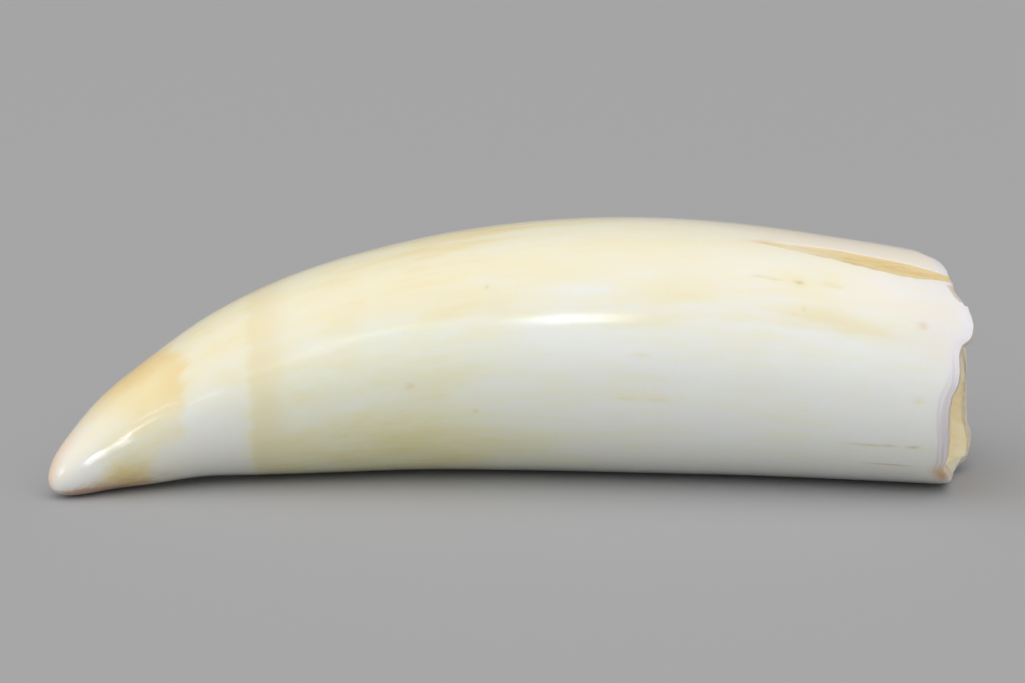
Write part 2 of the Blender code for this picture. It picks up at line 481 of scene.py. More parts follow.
along_furrow = calculate("MAXIMUM", skin_distance - FURROW_START, 0.0)
opened = 1.0 - calculate("EXPONENT", along_furrow / furrow_opens * -1.0)
narrowed = NARROWS_BY * ease(skin_distance, FURROW_NARROWS_FROM, FURROW_NARROWS_TO)
opened = opened * (1.0 - narrowed)
furrow_path = draw_held_curve(skin_distance, FURROW_PATH)
waver_place = join(skin_distance / WAVER_LENGTH, seed, 0.0)
path_waver = (noise(waver_place, detail=3.0) - 0.5) * WAVER_ANGLE
furrow_off = short_way(angle - furrow_path + path_waver)
furrow_place = furrow_off / calculate("MAXIMUM", furrow_half * opened, LEAST_HALF_WIDTH)
upper_side = ease(1.0 + furrow_place, 0.0, upper_slope)
lower_side = ease(1.0 - furrow_place, 0.0, lower_slope)
from_rim = rim_reach - skin_distance
deep_inland = (1.0 - DEPTH_LEFT_AT_RIM) * ease(from_rim, 0.0, RUN_OUT_LENGTH)
furrow_run_out = DEPTH_LEFT_AT_RIM + deep_inland
furrow_mask = opened * upper_side * lower_side
furrow_cut = furrow_depth * furrow_mask * furrow_run_out

ridge_rise = new_size("Ridge Rise", 0.7)
ridge_angle = new_size("Ridge Angle", 48.0)
on_ridge = hump(angle, ridge_angle, RIDGE_HALF_ANGLE)
ridge_swell = ridge_rise * on_ridge * ease(skin_distance, RIDGE_SWELLS_FROM, RIDGE_SWELLS_TO)

# %% [markdown]
# ## The lip, and the unevenness that polishing leaves
# At the rim the skin rolls over into a narrow lip. The outer growth layers end on it in fine steps,
# except at the lower corner, where they have crumbled away. Beside the furrow a chip is missing.
#
# The rest was ground by hand and then polished, so it is smooth but never perfectly even: broad facets
# run along the tooth, a few hundredths of a millimetre deep. They are too shallow to see, but they
# bend the reflections. A bump map would do that too, but here the facets are part of the shape.

# %% Lip and facets
CORNER_ANGLE = 204.0
CORNER_HALF_ANGLE = 14.0
LAYER_WAVER = 2.0
CHIP_FLAT_SHARE = 0.4
FACETS_FROM = 2.0
FACETS_FULL = 15.0
lip_width = new_size("Lip Width", 2.6)
lip_drop = new_size("Lip Drop", 0.4)
facet_depth = new_size("Facet Depth", 0.05)
facet_length = new_size("Facet Length", 30.0)
facet_width = new_size("Facet Width", 6.0)

lip_layers = new_size("Lip Layers", 0.03)
layer_gap = new_size("Layer Gap", 0.8)
chip_angle = new_size("Chip Angle", 84.5)
chip_half = new_size("Chip Half Angle", 8.0)
chip_width = new_size("Chip Width", 2.2)
chip_drop = new_size("Chip Drop", 1.3)

lip_share = between(1.0 - from_rim / lip_width, 0.0, 1.0)
rolled = lip_drop * lip_share * lip_share
layer_edges = calculate("FRACT", from_rim / layer_gap + bites * LAYER_WAVER)
layer_edges = layer_edges * (1.0 - hump(angle, CORNER_ANGLE, CORNER_HALF_ANGLE))
rolled = rolled + lip_layers * layer_edges * ease(lip_share, 0.0, 0.3)
off_chip = calculate("ABSOLUTE", short_way(angle - chip_angle))
chip_reach = chip_width * ease(off_chip, chip_half, chip_half * CHIP_FLAT_SHARE)
chip = between(1.0 - from_rim / calculate("MAXIMUM", chip_reach, 0.01), 0.0, 1.0)
rolled = rolled + chip_drop * chip
facet_place = join(
    skin_distance / facet_length,
    skin_half * along_bend / facet_width,
    skin_half * across_bend / facet_width + seed,
)
facets = (noise(facet_place, detail=1.0) - 0.5) * facet_depth
facets = facets * ease(skin_distance, FACETS_FROM, FACETS_FULL)
skin_radius = skin_half + ridge_swell - furrow_cut - rolled + facets
skin_radius = calculate("MAXIMUM", skin_radius, 0.0)

# %% [markdown]
# ## The break
# The break crosses the wall from the skin to the cavity. The wall is thinner on one side. Here and
# there the inner edge stands past the outer one, or falls short of it, where a flake came away, and
# the broken face itself is ragged with the ends of the layers. The flakes are few and each has its
# place, so they stand in a list. Noise adds only the raggedness.

# %% Break
RAGGED_ROUND = 9.0
SPLINTERS_ROUND = 24.0
SPLINTERS_ACROSS = 4.0
OTHER_NOISE = 7.0
# Angle and half angle of a flake, and how far past the outer edge the inner one stands there.
BREAK_SCARS = (
    (83, 13, 0.6),
    (20, 22, -1.6),
    (330, 18, -0.9),
    (288, 30, -0.9),
    (245, 20, -1.8),
    (206, 14, -0.7),
)
wall = new_size("Wall", 1.8)
wall_uneven = new_size("Wall Uneven", 0.5)
thick_wall_angle = new_size("Thick Wall Angle", 60.0)
break_slant = new_size("Break Slant", 0.3)
raggedness = new_size("Break Raggedness", 1.1)

break_share = between((row - skin_rows) / break_rows, 0.0, 1.0)
inner_distance = rim_reach - break_slant
for centre, half_width, past in BREAK_SCARS:
    off_scar = calculate("ABSOLUTE", short_way(angle - float(centre)))
    inner_distance = inner_distance + past * ease(off_scar, float(half_width), 0.0)
inner_place = join(along_bend * RAGGED_ROUND, across_bend * RAGGED_ROUND, seed + OTHER_NOISE)
inner_distance = inner_distance + (noise(inner_place, detail=3.0) - 0.5) * raggedness
off_thick = calculate("COSINE", (angle - thick_wall_angle) * DEGREE)
wall_here = wall + wall_uneven * off_thick
inner_radius = sample_spine(inner_distance)[2] - wall_here

splinter_place = join(
    along_bend * SPLINTERS_ROUND,
    across_bend * SPLINTERS_ROUND,
    break_share * SPLINTERS_ACROSS + seed,
)
layers = (noise(splinter_place, detail=3.0, roughness=0.6) - 0.5) * raggedness
# 4 x (1 - x) is 1 in the middle of the break and 0 at both of its edges.
layers = layers * 4.0 * break_share * (1.0 - break_share)

# %% [markdown]
# ## The pulp cavity
# The cavity is a cone that narrows from the break down into the tooth. Growth stopped and started, so
# its wall has shallow ledges round it. A second mesh could line the hole, but here the same rows
# simply go on inwards, so the tooth stays one closed surface.

# %% Cavity
LEDGE_WAVES_ROUND = 2.0
LEDGE_WAVE_LENGTH = 9.0
LEDGE_WAVER = 2.0
MOUTH_SHARE = 0.05
ROWS_TO_MOUTH = 1.4
cavity_end = new_size("Cavity End", 105.0)
cavity_taper = new_size("Cavity Taper", 0.8)
ledge_depth = new_size("Ledge Depth", 0.25)
ledge_gap = new_size("Ledge Gap", 4.0)

cavity_share = between((row - skin_rows - break_rows) / cavity_rows, 0.0, 1.0) ** ROWS_TO_MOUTH
distance = blend(skin_distance, inner_distance, break_share)
distance = blend(distance, cavity_end, cavity_share) + layers
cone = (1.0 - cavity_share) ** cavity_taper
ledge_place = join(
    along_bend * LEDGE_WAVES_ROUND,
    across_bend * LEDGE_WAVES_ROUND,
    distance / LEDGE_WAVE_LENGTH,
)
ledge_waver = noise(ledge_place, detail=3.0) * LEDGE_WAVER
ledge = calculate("PINGPONG", distance / ledge_gap + ledge_waver, 0.5) - 0.25
inside = ease(cavity_share, 0.0, MOUTH_SHARE) * cone
radius = blend(skin_radius, inner_radius, break_share) * cone + ledge * ledge_depth * inside
radius = calculate("MAXIMUM", radius, 0.0)

# %% [markdown]
# ## Setting the points
# The section is a slightly flattened ellipse, square to the spine. Each point goes to its place on it.
# The very tip was worn out of line, so Tip Pull moves it forward and Tip Lift to the outside of the
# bend, by less and less away from the point. Sweeping a circle with Curve to Mesh would give round
# sections in one step, but no ragged rim, furrow or lip.

# %% Place the points
oval_in_plane = new_size("Oval In Plane", 1.04)
oval_across = new_size("Oval Across", 0.97)
tip_pull = new_size("Tip Pull", 0.6)
tip_lift = new_size("Tip Lift", 0.4)
tip_moved_over = new_size("Tip Moved Over", 12.0)

spine_place, spine_direction, _ = sample_spine(distance)
centre_x, centre_y, _ = split(spine_place)
ahead_x, ahead_y, _ = split(spine_direction)
at_tip = hump(distance, 0.0, tip_moved_over)
forward = tip_pull * at_tip
in_plane = radius * oval_in_plane * along_bend + tip_lift * at_tip
tooth_place = join(
    centre_x - ahead_y * in_plane - ahead_x * forward,
    centre_y + ahead_x * in_plane - ahead_y * forward,
    radius * oval_across * across_bend,
)
placing = {"Geometry": mesh_wire, "Position": tooth_place}
mesh_wire = change_mesh("GeometryNodeSetPosition", placing)

# %% [markdown]
# ## Values that the finishes read
# Patterns in ivory follow growth, so each point keeps its straightened place: distance from the tip,
# and offset from the spine as if the tooth had never bent. An angle would do instead of the offset,
# but it jumps where the circle closes. The distance from the rim, the masks of the furrow and the
# chip, and the way in over the break are kept too, because a shader can't work them out again.

# %% Keep what the materials need
straight_place = join(distance, radius * along_bend, radius * across_bend)
for name, value, data_type in (
    ("straight", straight_place, "FLOAT_VECTOR"),
    ("from rim", from_rim, "FLOAT"),
    ("furrow", furrow_mask, "FLOAT"),
    ("chip", chip, "FLOAT"),
    ("way in", break_share + cavity_share, "FLOAT"),
):
    mesh_wire = store(mesh_wire, name, value, data_type)

# %% [markdown]
# ## Two finishes on one tooth
# The skin is polished, and the break and the cavity are bare. They meet in a hard edge, so the faces
# past the rim simply get another material. A blend of both in one material would blur that edge.

# %% Materials, and the end of the tree
polished = bpy.data.materials.new("polished ivory")
bare = bpy.data.materials.new("bare dentine")

mesh_wire = change_mesh("GeometryNodeRealizeInstances", {"Geometry": mesh_wire})
past_rim = calculate("GREATER_THAN", row, skin_rows - 0.5)
for finish, where in ((polished, True), (bare, past_rim)):
    dressing = {"Geometry": mesh_wire, "Selection": where, "Material": finish}
    mesh_wire = change_mesh("GeometryNodeSetMaterial", dressing)
grow.links.new(mesh_wire.socket, grow_output.inputs["Tooth"])
print("the tree has", len(grow.nodes), "nodes and", len(sizes), "named sizes")

# %% [markdown]
# ## From the tree to a plain mesh
# The modifier goes on the spine. Its inputs are set by their identifiers before the object is first
# evaluated. The result becomes a plain mesh, which is turned to the pose in which the tooth rests,
# rolled on to the inside of its bend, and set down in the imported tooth's box. Its rim is finer than
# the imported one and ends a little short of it, by RIM_SHORT.

# %% Grow the tooth
LEAN = 33.5 * DEGREE
DIP = -6.6 * DEGREE
SWING = 5.4 * DEGREE
SHARP_ANGLE = 32.0 * DEGREE
RIM_SHORT = 0.22 * MM

growth = spine.modifiers.new("growth", "NODES")
growth.node_group = grow
for identifier, value in sizes.items():
    growth[identifier] = value
depsgraph = bpy.context.evaluated_depsgraph_get()
tooth_mesh = bpy.data.meshes.new_from_object(
    spine.evaluated_get(depsgraph), preserve_all_data_layers=True, depsgraph=depsgraph
)
spine.modifiers.remove(growth)
bpy.data.objects.remove(spine)
tooth_mesh.materials.pop(index=0)
for name in ("row", "turn"):
    tooth_mesh.attributes.remove(tooth_mesh.attributes[name])

tooth_mesh.transform(Euler((LEAN, DIP, SWING)).to_matrix().to_4x4() @ Matrix.Scale(MM, 4))
corners = [vertex.co for vertex in tooth_mesh.vertices]
lowest = Vector([min(corner[axis] for corner in corners) for axis in range(3)])
highest = Vector([max(corner[axis] for corner in corners) for axis in range(3)])
node_lowest, node_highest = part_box("tooth")
shift = (node_lowest + node_highest - lowest - highest) / 2.0
shift.x = node_highest.x - highest.x - RIM_SHORT
shift.z = node_lowest.z - lowest.z
tooth_mesh.transform(Matrix.Translation(shift))
tooth_mesh.shade_smooth()
tooth_mesh.set_sharp_from_angle(angle=SHARP_ANGLE)
tooth = bpy.data.objects.new("grown_tooth", tooth_mesh)
bpy.context.scene.collection.objects.link(tooth)
print("the tooth has", sum(len(face.vertices) - 2 for face in tooth_mesh.polygons), "triangles")

# %% [markdown]
# ## Patterns that both finishes share
# Ivory is built of fine tubes and layers that run along the tooth. On the skin they show as pale
# streaks, and on the break and in the cavity as grain. Both materials use the same two node groups
# with their own values: one gives streaks, drawn out along the tooth, and the other gives fine grain.


# %% Shader groups
def new_group(name, inputs, output):
    """A shader node group with named number inputs and a place, and one number as its output."""
    group = bpy.data.node_groups.new(name, "ShaderNodeTree")
    group.interface.new_socket("Place", in_out="INPUT", socket_type="NodeSocketVector")
    for label, value in inputs.items():
        socket = group.interface.new_socket(label, in_out="INPUT", socket_type="NodeSocketFloat")
        socket.default_value = value
    group.interface.new_socket(output, in_out="OUTPUT", socket_type="NodeSocketFloat")
    entry = group.nodes.new("NodeGroupInput")
    wires = {socket.name: Wire(group, socket) for socket in entry.outputs if socket.name}
    return group, wires


def end_group(group, wire):
    """Link the group's result to its output."""
    group.links.new(wire.socket, group.nodes.new("NodeGroupOutput").inputs[0])


def drawn_out(inside):
    """The group's place, scaled so that one unit is a streak's length along and its width across."""
    along, off_bend, off_side = split(inside["Place"])
    return join(
        along / inside["Length"] + inside["Seed"],
        off_bend / inside["Width"],
        off_side / inside["Width"],
    )


SPREAD = 2.5
streaks_group, inside = new_group(
    "growth streaks", {"Length": 30.0, "Width": 3.0, "Seed": 0.0, "Contrast": 1.0}, "Streaks"
)
streak_value = (noise(drawn_out(inside), detail=2.0, roughness=0.55) - 0.5) * inside["Contrast"]
end_group(streaks_group, between(streak_value * SPREAD + 0.5, 0.0, 1.0))

grain_group, inside = new_group(
    "fine grain", {"Length": 3.0, "Width": 0.4, "Seed": 0.0}, "Grain"
)
end_group(grain_group, noise(drawn_out(inside), detail=4.0, roughness=0.6))
print("the two groups have", len(streaks_group.nodes), "and", len(grain_group.nodes), "nodes")


def use_group(group, place, **values):
    """The group's result in a material, with these values."""
    node = place_node(place.tree, "ShaderNodeGroup", node_tree=group)
    place.tree.links.new(place.socket, node.inputs["Place"])
    for label, value in values.items():
        node.inputs[label].default_value = value
    return Wire(place.tree, node.outputs[0])


# %% [markdown]
# ## Painting in layers
# Stains and clouds lie one over another in the ivory, and the materials paint them in the same way. A
# paint starts as one colour, and each coat is a Mix node that lays a new colour over it where a mask
# allows. One large Color Ramp can't do that, because the stains don't follow one and the same number.


# %% Helpers for colour
def colour(red, green, blue):
    """A colour as a shader wants it, from the 0 to 255 values of a paint picker."""
    shares = [channel / 255.0 for channel in (red, green, blue)]
    linear = [s / 12.92 if s <= 0.04045 else ((s + 0.055) / 1.055) ** 2.4 for s in shares]
    return (*linear, 1.0)


class Paint:
    """A material's colour, built up coat by coat."""

    def __init__(self, first):
        self.wire = first

    def coat(self, shade, share):
        """Lay one more colour over the others where share says so."""
        inputs = {0: share, 6: self.wire, 7: shade}
        node = place_node(self.wire.tree, "ShaderNodeMix", inputs, data_type="RGBA")
        self.wire = Wire(self.wire.tree, node.outputs[2])


def ramp(value, stops):
    """A colour between the stops, given as (place, colour) pairs."""
    node = place_node(value.tree, "ShaderNodeValToRGB", {0: value})
    elements = node.color_ramp.elements
    while len(elements) < len(stops):
        elements.new(1.0)
    for element, (place, shade) in zip(elements, stops):
        element.position = place
        element.color = shade
    return Wire(value.tree, node.outputs[0])


def read_attribute(tree, name, vector=False):
    """A value stored on the mesh."""
    node = place_node(tree, "ShaderNodeAttribute", attribute_name=name)
    return Wire(tree, node.outputs["Vector" if vector else "Fac"])


def angle_round(bend, side):
    """The angle round the tooth, from a point's two offsets off the spine."""
    return full_turn(calculate("ARCTAN2", side, bend) / DEGREE)


IVORY_IOR = 1.54
LIGHT_REACH = 2.5 * MM


def finish_surface(paint, roughness, height, glow, reach):
    """Link paint, roughness and height in mm to the material's shader.

    Glow is the share of the light that goes in and comes out again, and reach how far its red, green
    and blue parts go, in shares of LIGHT_REACH.
    """
    tree = paint.wire.tree
    shader = tree.nodes["Principled BSDF"]
    bumps = {"Height": height * MM, "Distance": 1.0, "Strength": 1.0}
    normal = Wire(tree, place_node(tree, "ShaderNodeBump", bumps).outputs["Normal"])
    for label, wire in (("Base Color", paint.wire), ("Roughness", roughness), ("Normal", normal)):
        tree.links.new(wire.socket, shader.inputs[label])
    shader.inputs["IOR"].default_value = IVORY_IOR
    shader.inputs["Subsurface Weight"].default_value = glow
    shader.inputs["Subsurface Radius"].default_value = reach
    shader.inputs["Subsurface Scale"].default_value = LIGHT_REACH


# %% [markdown]
# ## Polished ivory: where it is white, cream and yellow
# The tooth isn't one colour. Its lower side is a cool white that turns cream towards the tip, and its
# upper side is warmer, with clouds and streaks of yellow along it. One number, the yellowness, holds all
# that. Two drawn curves give it along the upper and the lower side, and streaks of three sizes break it
# up. Two Color Ramps turn the number into ivory colours, one warm for the upper side and one slightly
# green for the lower. The warmth above and the green below are partly the ivory's own tone and partly
# painted light: a warm cast of the light from above and a cooler, greenish cast of the shade below. A
# painted image would need the mesh unwrapped and would be blurred close up, and these masks stay sharp
# at any distance.
#
# A mask is an ease or a hump. Its pair of numbers is named first: where it starts and is full, or its
# centre and half width, in mm along the tooth or in degrees round it.

# %% Yellowness of the skin
# Distance from the tip, and how yellow the skin is there.
YELLOW_ABOVE = (
    (0, 0.12), (4, 0.20), (8, 0.32), (14, 0.46), (22, 0.60), (31, 0.54), (42, 0.52), (50, 0.40),
    (62, 0.52), (76, 0.48), (90, 0.38), (110, 0.38), (130, 0.30), (150, 0.20), (172, 0.08),
)
YELLOW_BELOW = (
    (0, 0.04), (5, 0.08), (10, 0.22), (18, 0.36), (26, 0.12), (33, 0.22), (42, 0.44),
    (52, 0.36), (64, 0.42), (78, 0.34), (90, 0.16), (110, 0.08), (140, 0.06), (172, 0.02),
)
BOTTOM_ANGLE = 190.0
COOL_TO_WARM = (55.0, 92.0)
CLOUDS_MOVE_IT = 18.0
CREAM_LOWER_BY = 10.0
CREAM_LOWER = (46.0, 32.0)
CREST_ANGLE = (64.0, 17.0)
CREST_ALONG = (84.0, 20.0)
CREST_YELLOW = 0.16
CREST_BANDS = 0.24
SHORT_STREAKS = 0.1
UNDER_ANGLE = (186.0, 26.0)
UNDER_ALONG = (70.0, 30.0)
UNDER_YELLOW = 0.35

polished.use_nodes = True
skin = polished.node_tree
skin_place = read_attribute(skin, "straight", vector=True)
skin_along, skin_bend, skin_side = split(skin_place)
skin_angle = angle_round(skin_bend, skin_side)

clouds = use_group(streaks_group, skin_place, Length=20.0, Width=6.0, Seed=1.0, Contrast=1.0)
bands = use_group(streaks_group, skin_place, Length=15.0, Width=1.7, Seed=5.0, Contrast=1.0)
threads = use_group(streaks_group, skin_place, Length=15.0, Width=0.5, Seed=9.0, Contrast=1.0)

bottom_up = calculate("ABSOLUTE", short_way(skin_angle - BOTTOM_ANGLE))
cream_reaches_down = CREAM_LOWER_BY * ease(skin_along, *CREAM_LOWER)
edge_of_warm = bottom_up + (clouds - 0.5) * CLOUDS_MOVE_IT + cream_reaches_down
upper = ease(edge_of_warm, *COOL_TO_WARM)
yellow_above = draw_held_curve(skin_along, YELLOW_ABOVE)
yellow_below = draw_held_curve(skin_along, YELLOW_BELOW)
yellowness = blend(yellow_below, yellow_above, upper)
for streaks, strength in ((clouds, 0.26), (bands, 0.16), (threads, 0.06)):
    yellowness = yellowness + (streaks - 0.5) * strength
on_crest = hump(skin_angle, *CREST_ANGLE) * hump(skin_along, *CREST_ALONG)
yellowness = yellowness + on_crest * (CREST_YELLOW + CREST_BANDS * ease(bands, 0.2, 1.0))
short_streaks = ease(threads, 0.5, 1.0) * ease(clouds, 0.25, 0.7)
yellowness = yellowness + short_streaks * (1.0 - upper) * SHORT_STREAKS
under_middle = hump(skin_angle, *UNDER_ANGLE) * hump(skin_along, *UNDER_ALONG)
yellowness = between(yellowness + under_middle * UNDER_YELLOW, 0.0, 1.0)

WARM_STOPS = (
    (0.0, colour(243, 240, 233)),
    (0.3, colour(243, 238, 217)),
    (0.55, colour(243, 235, 202)),
    (0.8, colour(242, 227, 180)),
    (1.0, colour(240, 217, 156)),
)
COOL_STOPS = (
    (0.0, colour(241, 244, 240)),
    (0.3, colour(240, 242, 225)),
    (0.55, colour(239, 239, 208)),
    (0.8, colour(237, 232, 184)),
    (1.0, colour(234, 225, 162)),
)
# Partly painted light: the warm ramp above also holds a painted warm cast of the light from above, and
# the greenish ramp below a painted cooler cast of shade.
ivory = Paint(ramp(yellowness, COOL_STOPS))
ivory.coat(ramp(yellowness, WARM_STOPS), upper)

# %% [markdown]
# ## Polished ivory: the amber cap and the bands
# Age has turned the tip amber as far as a ragged line, the edge of one growth layer. Low on the front of
# the point a whitish patch is painted sheen, and on its upper edge a peach tint is a painted glow of
# light shining through the thin ivory. Past the cap comes a clear white band, and then a yellow one.
# Each is a mask: a step on the distance from the tip, whose edge is a drawn curve round the tooth. A
# straight step would be simpler, but a growth layer ends at another height on each side of the tooth.

# %% Cap and bands
# Angle round the tooth, and how far from the tip the edge lies there.
CAP_EDGE = (
    (0, 30.0), (40, 28.0), (62, 28.0), (82, 29.1), (100, 27.5), (116, 26.0), (132, 24.6),
    (145, 23.6), (153, 22.4), (156, 19.2), (164, 15.6), (180, 14.4), (205, 15.0), (240, 23.0),
    (300, 28.0), (360, 30.0),
)
BAND_EDGE = (
    (0, 47.0), (60, 43.8), (92, 41.2), (126, 38.3), (152, 36.6), (182, 35.4), (360, 47.0),
)
AMBER = colour(243, 223, 166)
DARK_AMBER = colour(238, 204, 140)
LAYER_AMBER = colour(238, 204, 138)
BAND_YELLOW = colour(234, 218, 168)
BAND_WHITE = colour(240, 241, 235)
# Painted glow: light shining through the thin upper edge of the point.
PEACH_GLOW = colour(243, 212, 186)
# Painted sheen: the whitish patch low on the front of the point.
SHEEN_WHITE = colour(242, 242, 241)
CAP_FADE = (1.3, -1.3)
CAP_HIGH = (28.0, 50.0)
CAP_FULL = (50.0, 95.0)
CAP_PALE_STRIPE = (33.0, 9.0)
AMBER_LATE = (64.0, 18.0)
AMBER_CREST_ALONG = (21.0, 8.0)
AMBER_CREST_ANGLE = (58.0, 22.0)
AMBER_LINE = (-1.4, 2.2)
AMBER_LINE_SIDE = (60.0, 90.0)
BAND_RISE = (-1.4, 0.8)
BAND_FADE = (9.0, 2.0)
WHITE_RISE = (0.0, 1.6)
WHITE_FADE = (0.2, -3.0)
WHITE_SIDE = (40.0, 82.0)
PEACH_ALONG = (14.0, 2.0)
PEACH_SIDE = (88.0, 130.0)
SHEEN_ALONG = (4.0, 6.0)
SHEEN_SIDE = (42.0, 32.0)
# Low on the side and high up: where the amber starts, and how long it takes to be full.
AMBER_STARTS = (3.0, 9.0)
AMBER_FILLS = (5.0, 12.0)
AMBER_LATER_BY = 5.0

edge_waver = (bands - 0.5) * 1.2 + (clouds - 0.5) * 1.0
cap_edge = draw_curve(skin_angle, CAP_EDGE) + edge_waver
in_cap = ease(skin_along - cap_edge, *CAP_FADE)
cap_high = ease(bottom_up, *CAP_HIGH)
amber_from = blend(*AMBER_STARTS, cap_high) + AMBER_LATER_BY * hump(bottom_up, *AMBER_LATE)
amber_starts = ease(skin_along, amber_from, amber_from + blend(*AMBER_FILLS, cap_high))
cap_side = blend(0.45, 1.0, ease(bottom_up, *CAP_FULL))
cap_side = cap_side * (1.0 - 0.7 * hump(bottom_up, *CAP_PALE_STRIPE))
amber = in_cap * amber_starts * cap_side * (0.6 + 0.25 * clouds + 0.15 * bands)
ivory.coat(AMBER, amber)
amber_crest = hump(skin_along, *AMBER_CREST_ALONG) * hump(skin_angle, *AMBER_CREST_ANGLE) * in_cap
ivory.coat(DARK_AMBER, amber_crest * (0.3 + 0.4 * bands))
amber_line = hump(skin_along - cap_edge, *AMBER_LINE) * ease(bottom_up, *AMBER_LINE_SIDE)
ivory.coat(LAYER_AMBER, amber_line * (0.1 + 0.35 * clouds))

band_off = skin_along - draw_curve(skin_angle, BAND_EDGE) + edge_waver * 0.6
yellow_band = ease(band_off, *BAND_RISE) * ease(band_off, *BAND_FADE)
ivory.coat(BAND_YELLOW, yellow_band * 0.42)
white_band = ease(skin_along - cap_edge, *WHITE_RISE) * ease(band_off, *WHITE_FADE)
white_side = blend(0.6, 0.0, ease(bottom_up, *WHITE_SIDE))
ivory.coat(BAND_WHITE, white_band * white_side)

# Painted glow: a peach tint for light shining through the thin upper edge of the point.
painted_point_glow = ease(skin_along, *PEACH_ALONG) * ease(bottom_up, *PEACH_SIDE)
ivory.coat(PEACH_GLOW, painted_point_glow * 0.6)
# Painted sheen: a whitish patch low on the front of the point.
painted_tip_sheen = hump(skin_along, *SHEEN_ALONG) * hump(bottom_up, *SHEEN_SIDE)
ivory.coat(SHEEN_WHITE, painted_tip_sheen * 0.7)

# %% [markdown]
# ## Polished ivory: spots and streaks
# Some marks are the tooth's own: a brown spot with a faint one beside it, an orange speck near the rim,
# hair cracks where the furrow begins and brown dashes low on the flank. The reddish-brown edge under the
# tip is painted shade, with a painted reddish reflection in it. Each is a hump in distance and angle, so
# one function places them all from a list. Noise would scatter such spots anywhere, and these have their
# places.


# %% Marks
def mark(distance_from_tip, at_angle, half_length, half_width):
    """A soft spot on the skin, its angle in degrees and its sizes in mm."""
    off_angle = short_way(skin_angle - at_angle)
    arc = off_angle * (DEGREE * half_thickness(distance_from_tip))
    wander = (threads - 0.5) * min(half_width * MARK_RAGGED, MOST_WANDER)
    stretch = (bands - 0.5) * (half_length * MARK_RAGGED)
    off_length = (skin_along - distance_from_tip + stretch) / half_length
    far = off_length**2.0 + ((arc + wander) / half_width) ** 2.0
    return calculate("EXPONENT", far * -1.0)


MARK_RAGGED = 0.8
MOST_WANDER = 0.8
OLIVE = colour(206, 184, 124)
ORANGE = colour(230, 194, 140)
YELLOW = colour(236, 222, 162)
MUSTARD = colour(226, 206, 120)
# Painted shade with a painted reddish reflection, for the edge under the tip.
UNDER_TIP_SHADE = colour(190, 134, 92)
# Distance from the tip, angle, half length, half width, strength and colour of each.
MARKS = (
    (140.2, 97.4, 0.8, 0.5, 0.75, OLIVE),
    (140.4, 97.2, 2.6, 1.1, 0.3, YELLOW),
    (136.0, 97.3, 1.2, 0.3, 0.25, OLIVE),
    (133.2, 96.6, 1.6, 0.3, 0.25, OLIVE),
    (145.4, 95.8, 1.6, 0.7, 0.5, YELLOW),
    (147.2, 96.8, 0.8, 0.4, 0.35, YELLOW),
    (162.8, 109.0, 0.8, 0.7, 0.6, ORANGE),
    (141.8, 111.0, 0.4, 0.4, 0.25, OLIVE),
    (67.9, 146.5, 0.9, 0.6, 0.4, ORANGE),
    (80.5, 161.5, 0.5, 0.5, 0.25, OLIVE),
    (84.6, 103.0, 0.4, 0.4, 0.3, OLIVE),
    (132.6, 73.2, 1.8, 0.6, 0.5, ORANGE),
    (135.2, 73.8, 2.0, 0.4, 0.5, ORANGE),
    (134.0, 71.6, 1.4, 0.3, 0.35, ORANGE),
    (11.4, 181.0, 3.4, 4.2, 0.6, MUSTARD),
    (9.6, 166.0, 1.6, 1.6, 0.3, MUSTARD),
    # These two are painted shade with a painted reddish reflection along the underside of the tip.
    (6.5, 207.0, 8.0, 2.0, 0.7, UNDER_TIP_SHADE),
    (3.0, 192.0, 3.0, 1.0, 0.6, UNDER_TIP_SHADE),
    (156.4, 174.0, 4.0, 0.25, 0.45, OLIVE),
    (160.2, 173.4, 1.2, 0.3, 0.5, OLIVE),
    (164.6, 173.2, 1.2, 0.3, 0.5, OLIVE),
    (160.8, 188.0, 4.0, 0.25, 0.5, OLIVE),
    (164.2, 147.0, 1.0, 0.7, 0.35, YELLOW),
    (113.0, 136.5, 1.7, 0.4, 0.35, YELLOW),
    (110.5, 156.0, 1.8, 0.4, 0.35, YELLOW),
    (116.5, 156.0, 2.0, 0.4, 0.35, YELLOW),
    (146.0, 114.0, 13.0, 1.4, 0.5, YELLOW),
    (153.0, 118.0, 9.0, 1.4, 0.4, YELLOW),
)
for place_along, at_angle, half_length, half_width, strength, shade in MARKS:
    spot = mark(place_along, at_angle, half_length, half_width)
    ivory.coat(shade, spot * strength)

# %% [markdown]
# ## Polished ivory: furrow and lip
# In the furrow the surface was never polished and keeps a tan colour. The ridge above it is a warm
# white, and the skin greys towards the rim, where the thin lip is bluish white with its layers showing.
# The lower corner has an orange-brown stain that is partly painted shade, and a crumbled edge, and the
# chip has a brown line round it. The masks of the furrow, the rim and the chip come from the tree, so
# these colours fit the shape exactly.
# Working them out again from distance and angle would only come close.

# %% Furrow and lip
TAN = colour(228, 206, 150)
ORANGE_TAN = colour(228, 190, 132)
BROWN_TAN = colour(206, 174, 116)
RIDGE_WHITE = colour(243, 230, 212)
RIM_GREY = colour(226, 224, 230)
LILAC_WHITE = colour(238, 236, 242)
LILAC_GREY = colour(212, 206, 210)
